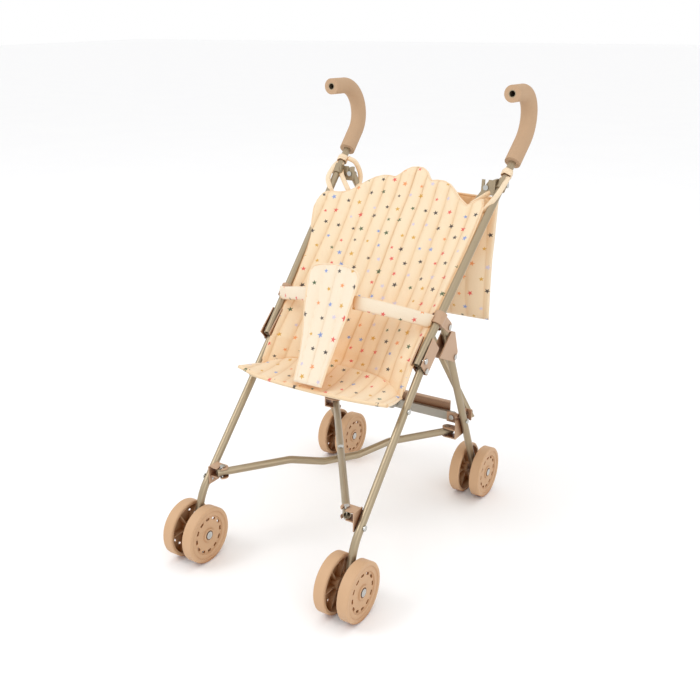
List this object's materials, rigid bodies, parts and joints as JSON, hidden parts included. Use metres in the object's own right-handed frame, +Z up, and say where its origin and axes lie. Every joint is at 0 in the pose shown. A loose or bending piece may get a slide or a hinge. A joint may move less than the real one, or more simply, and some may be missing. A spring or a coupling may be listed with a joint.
{
  "type": "doll stroller",
  "caption": "Folding umbrella-style doll stroller with hooked foam handles, a sling seat with a front panel and straps, a rear bag, crossed braces and twin wheels at each leg.",
  "frame": {"origin": "centre of the open stroller's outline, on the floor under its wheels", "axes": "+Z up, -Y to the front of the stroller, +X to the right as seen from the front camera"},
  "size_m": [0.28, 0.447, 0.5508],
  "materials": {
    "tube_metal": "satin champagne",
    "bracket_metal": "satin rosy tan",
    "rivet_metal": "bright",
    "bar_metal": "satin grey",
    "foam": "matte foam",
    "wheel_plastic": "satin peach",
    "star_cloth": "cream cloth with small stars"
  },
  "bodies": {
    "frame_left": {"handle_tube_left": "tube_metal", "grip_left": "foam", "collar_left": "bracket_metal", "top_bracket_left": "bracket_metal", "knee_bracket_left": "bracket_metal", "front_leg_left": "tube_metal", "rear_leg_left": "tube_metal", "gusset_left": "bracket_metal", "front_clevis_left": "bracket_metal", "rear_joint_left": "bracket_metal", "rivets_left": "rivet_metal", "front_axle_left": "rivet_metal", "rear_axle_left": "rivet_metal", "tie_left": "star_cloth", "seat": "star_cloth", "front_panel": "star_cloth", "waist_strap_left": "star_cloth", "waist_strap_right": "star_cloth", "bag": "star_cloth"},
    "brace_front": {"back_tube_front": "tube_metal", "back_rivets_front": "rivet_metal"},
    "brace_rear": {"back_tube_rear": "tube_metal", "back_rivets_rear": "rivet_metal"},
    "frame_right": {"handle_tube_right": "tube_metal", "grip_right": "foam", "collar_right": "bracket_metal", "top_bracket_right": "bracket_metal", "knee_bracket_right": "bracket_metal", "front_leg_right": "tube_metal", "rear_leg_right": "tube_metal", "gusset_right": "bracket_metal", "front_clevis_right": "bracket_metal", "rear_joint_right": "bracket_metal", "rivets_right": "rivet_metal", "front_axle_right": "rivet_metal", "rear_axle_right": "rivet_metal", "tie_right": "star_cloth"},
    "lower_straight": {"lower_tube_straight": "tube_metal", "lower_rivets_straight": "rivet_metal"},
    "lower_bowed": {"lower_tube_bowed": "tube_metal", "lower_rivets_bowed": "rivet_metal"},
    "bar_left": {"rear_bar_left": "bar_metal", "bar_rivet_left": "rivet_metal"},
    "bar_right": {"rear_bar_right": "bar_metal", "bar_rivet_right": "rivet_metal", "lock_plate": "bracket_metal"},
    "wheel_front_left_out_body": {"wheel_front_left_out": "wheel_plastic"},
    "wheel_front_left_in_body": {"wheel_front_left_in": "wheel_plastic"},
    "wheel_rear_left_out_body": {"wheel_rear_left_out": "wheel_plastic"},
    "wheel_rear_left_in_body": {"wheel_rear_left_in": "wheel_plastic"},
    "wheel_front_right_out_body": {"wheel_front_right_out": "wheel_plastic"},
    "wheel_front_right_in_body": {"wheel_front_right_in": "wheel_plastic"},
    "wheel_rear_right_out_body": {"wheel_rear_right_out": "wheel_plastic"},
    "wheel_rear_right_in_body": {"wheel_rear_right_in": "wheel_plastic"}
  },
  "joints": [
    {"name": "fold", "type": "hinge", "parent": "frame_left", "child": "brace_front", "pos_m": [-0.104, 0.12248, 0.126], "axis": [0, -0.994, 0.1097], "range_deg": [0, 25.53], "deforming": ["seat", "front_panel", "waist_strap_left", "waist_strap_right", "bag"]},
    {"name": "back_crossing", "type": "hinge", "parent": "brace_front", "child": "brace_rear", "pos_m": [0, 0.13898, 0.2755], "axis": [0, -0.994, 0.1097], "range_deg": [-51.11, 0]},
    {"name": "back_right_pin", "type": "hinge", "parent": "brace_rear", "child": "frame_right", "pos_m": [0.104, 0.12248, 0.126], "axis": [0, -0.994, 0.1097], "range_deg": [0, 25.58]},
    {"name": "lower_left_pin", "type": "hinge", "parent": "frame_left", "child": "lower_straight", "pos_m": [-0.0887, 0.09548, 0.107], "axis": [0, 0, 1], "range_deg": [-29.99, 0]},
    {"name": "lower_right_pin", "type": "hinge", "parent": "frame_right", "child": "lower_bowed", "pos_m": [0.0887, 0.09548, 0.107], "axis": [0, 0, 1], "range_deg": [0, 29.99]},
    {"name": "bar_left_pin", "type": "hinge", "parent": "frame_left", "child": "bar_left", "pos_m": [-0.09, 0.10198, 0.124], "axis": [0, -1, 0], "range_deg": [0, 80.49]},
    {"name": "bar_right_pin", "type": "hinge", "parent": "frame_right", "child": "bar_right", "pos_m": [0.09, 0.10798, 0.124], "axis": [0, 1, 0], "range_deg": [0, 80.49]},
    {"name": "spin_front_left_out", "type": "hinge", "parent": "frame_left", "child": "wheel_front_left_out_body", "pos_m": [-0.124, -0.18852, 0.035], "axis": [1, 0, 0], "continuous": true},
    {"name": "spin_front_left_in", "type": "hinge", "parent": "frame_left", "child": "wheel_front_left_in_body", "pos_m": [-0.094, -0.18852, 0.035], "axis": [1, 0, 0], "continuous": true},
    {"name": "spin_rear_left_out", "type": "hinge", "parent": "frame_left", "child": "wheel_rear_left_out_body", "pos_m": [-0.124, 0.14448, 0.035], "axis": [1, 0, 0], "continuous": true},
    {"name": "spin_rear_left_in", "type": "hinge", "parent": "frame_left", "child": "wheel_rear_left_in_body", "pos_m": [-0.094, 0.14448, 0.035], "axis": [1, 0, 0], "continuous": true},
    {"name": "spin_front_right_out", "type": "hinge", "parent": "frame_right", "child": "wheel_front_right_out_body", "pos_m": [0.124, -0.18852, 0.035], "axis": [1, 0, 0], "continuous": true},
    {"name": "spin_front_right_in", "type": "hinge", "parent": "frame_right", "child": "wheel_front_right_in_body", "pos_m": [0.094, -0.18852, 0.035], "axis": [1, 0, 0], "continuous": true},
    {"name": "spin_rear_right_out", "type": "hinge", "parent": "frame_right", "child": "wheel_rear_right_out_body", "pos_m": [0.124, 0.14448, 0.035], "axis": [1, 0, 0], "continuous": true},
    {"name": "spin_rear_right_in", "type": "hinge", "parent": "frame_right", "child": "wheel_rear_right_in_body", "pos_m": [0.094, 0.14448, 0.035], "axis": [1, 0, 0], "continuous": true}
  ],
  "couplings": [
    {"joint": "back_crossing", "follows": "fold", "ratio": -2},
    {"joint": "back_right_pin", "follows": "fold", "ratio": 1},
    {"joint": "lower_left_pin", "follows": "fold", "ratio": -1.1728},
    {"joint": "lower_right_pin", "follows": "fold", "ratio": 1.1728},
    {"joint": "bar_left_pin", "follows": "fold", "ratio": 3.1489},
    {"joint": "bar_right_pin", "follows": "fold", "ratio": 3.1489}
  ]
}
